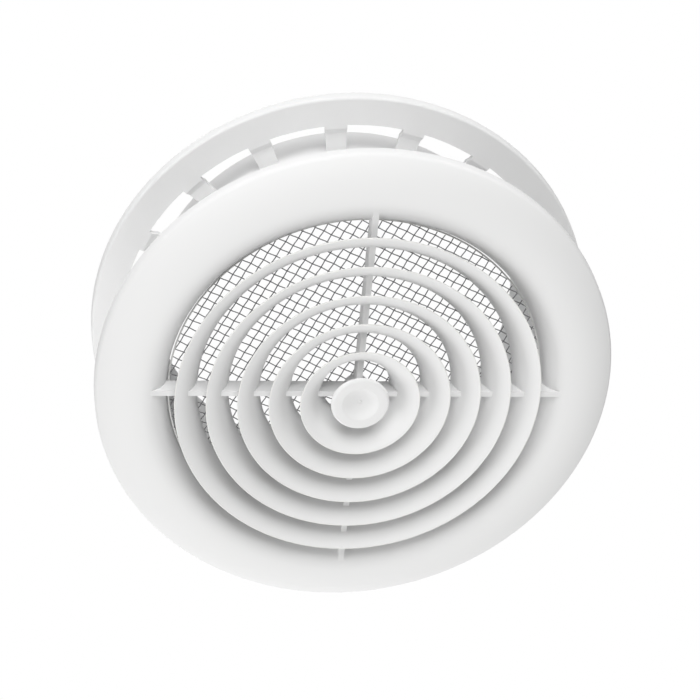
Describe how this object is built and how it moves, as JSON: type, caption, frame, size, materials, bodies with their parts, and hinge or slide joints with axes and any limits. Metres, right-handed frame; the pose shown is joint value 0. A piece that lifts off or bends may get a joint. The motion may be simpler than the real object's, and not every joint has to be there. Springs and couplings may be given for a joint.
{
  "type": "round vent cover",
  "caption": "Round ceiling vent with a domed bell-mouth face, flared concentric vanes, an insect net behind them and a tube that carries a sliding mounting ring with fingers.",
  "frame": {"origin": "on the vent's axis, at the shoulder where the tube steps down to its nose", "axes": "+Z along the axis, away from the face and into the duct, so up when the vent is in a ceiling; the ribs run along X and Y"},
  "size_m": [0.1648, 0.1648, 0.0675],
  "materials": {
    "white_plastic": "satin",
    "net": "matte"
  },
  "bodies": {
    "face": {"face_grille": "white_plastic", "insect_screen": "net"},
    "ring": {"mounting_ring": "white_plastic"}
  },
  "joints": [
    {"name": "ring_slide", "type": "slide", "parent": "face", "child": "ring", "axis": [0, 0, 1], "range_m": [-0.0345, 0.004]}
  ]
}
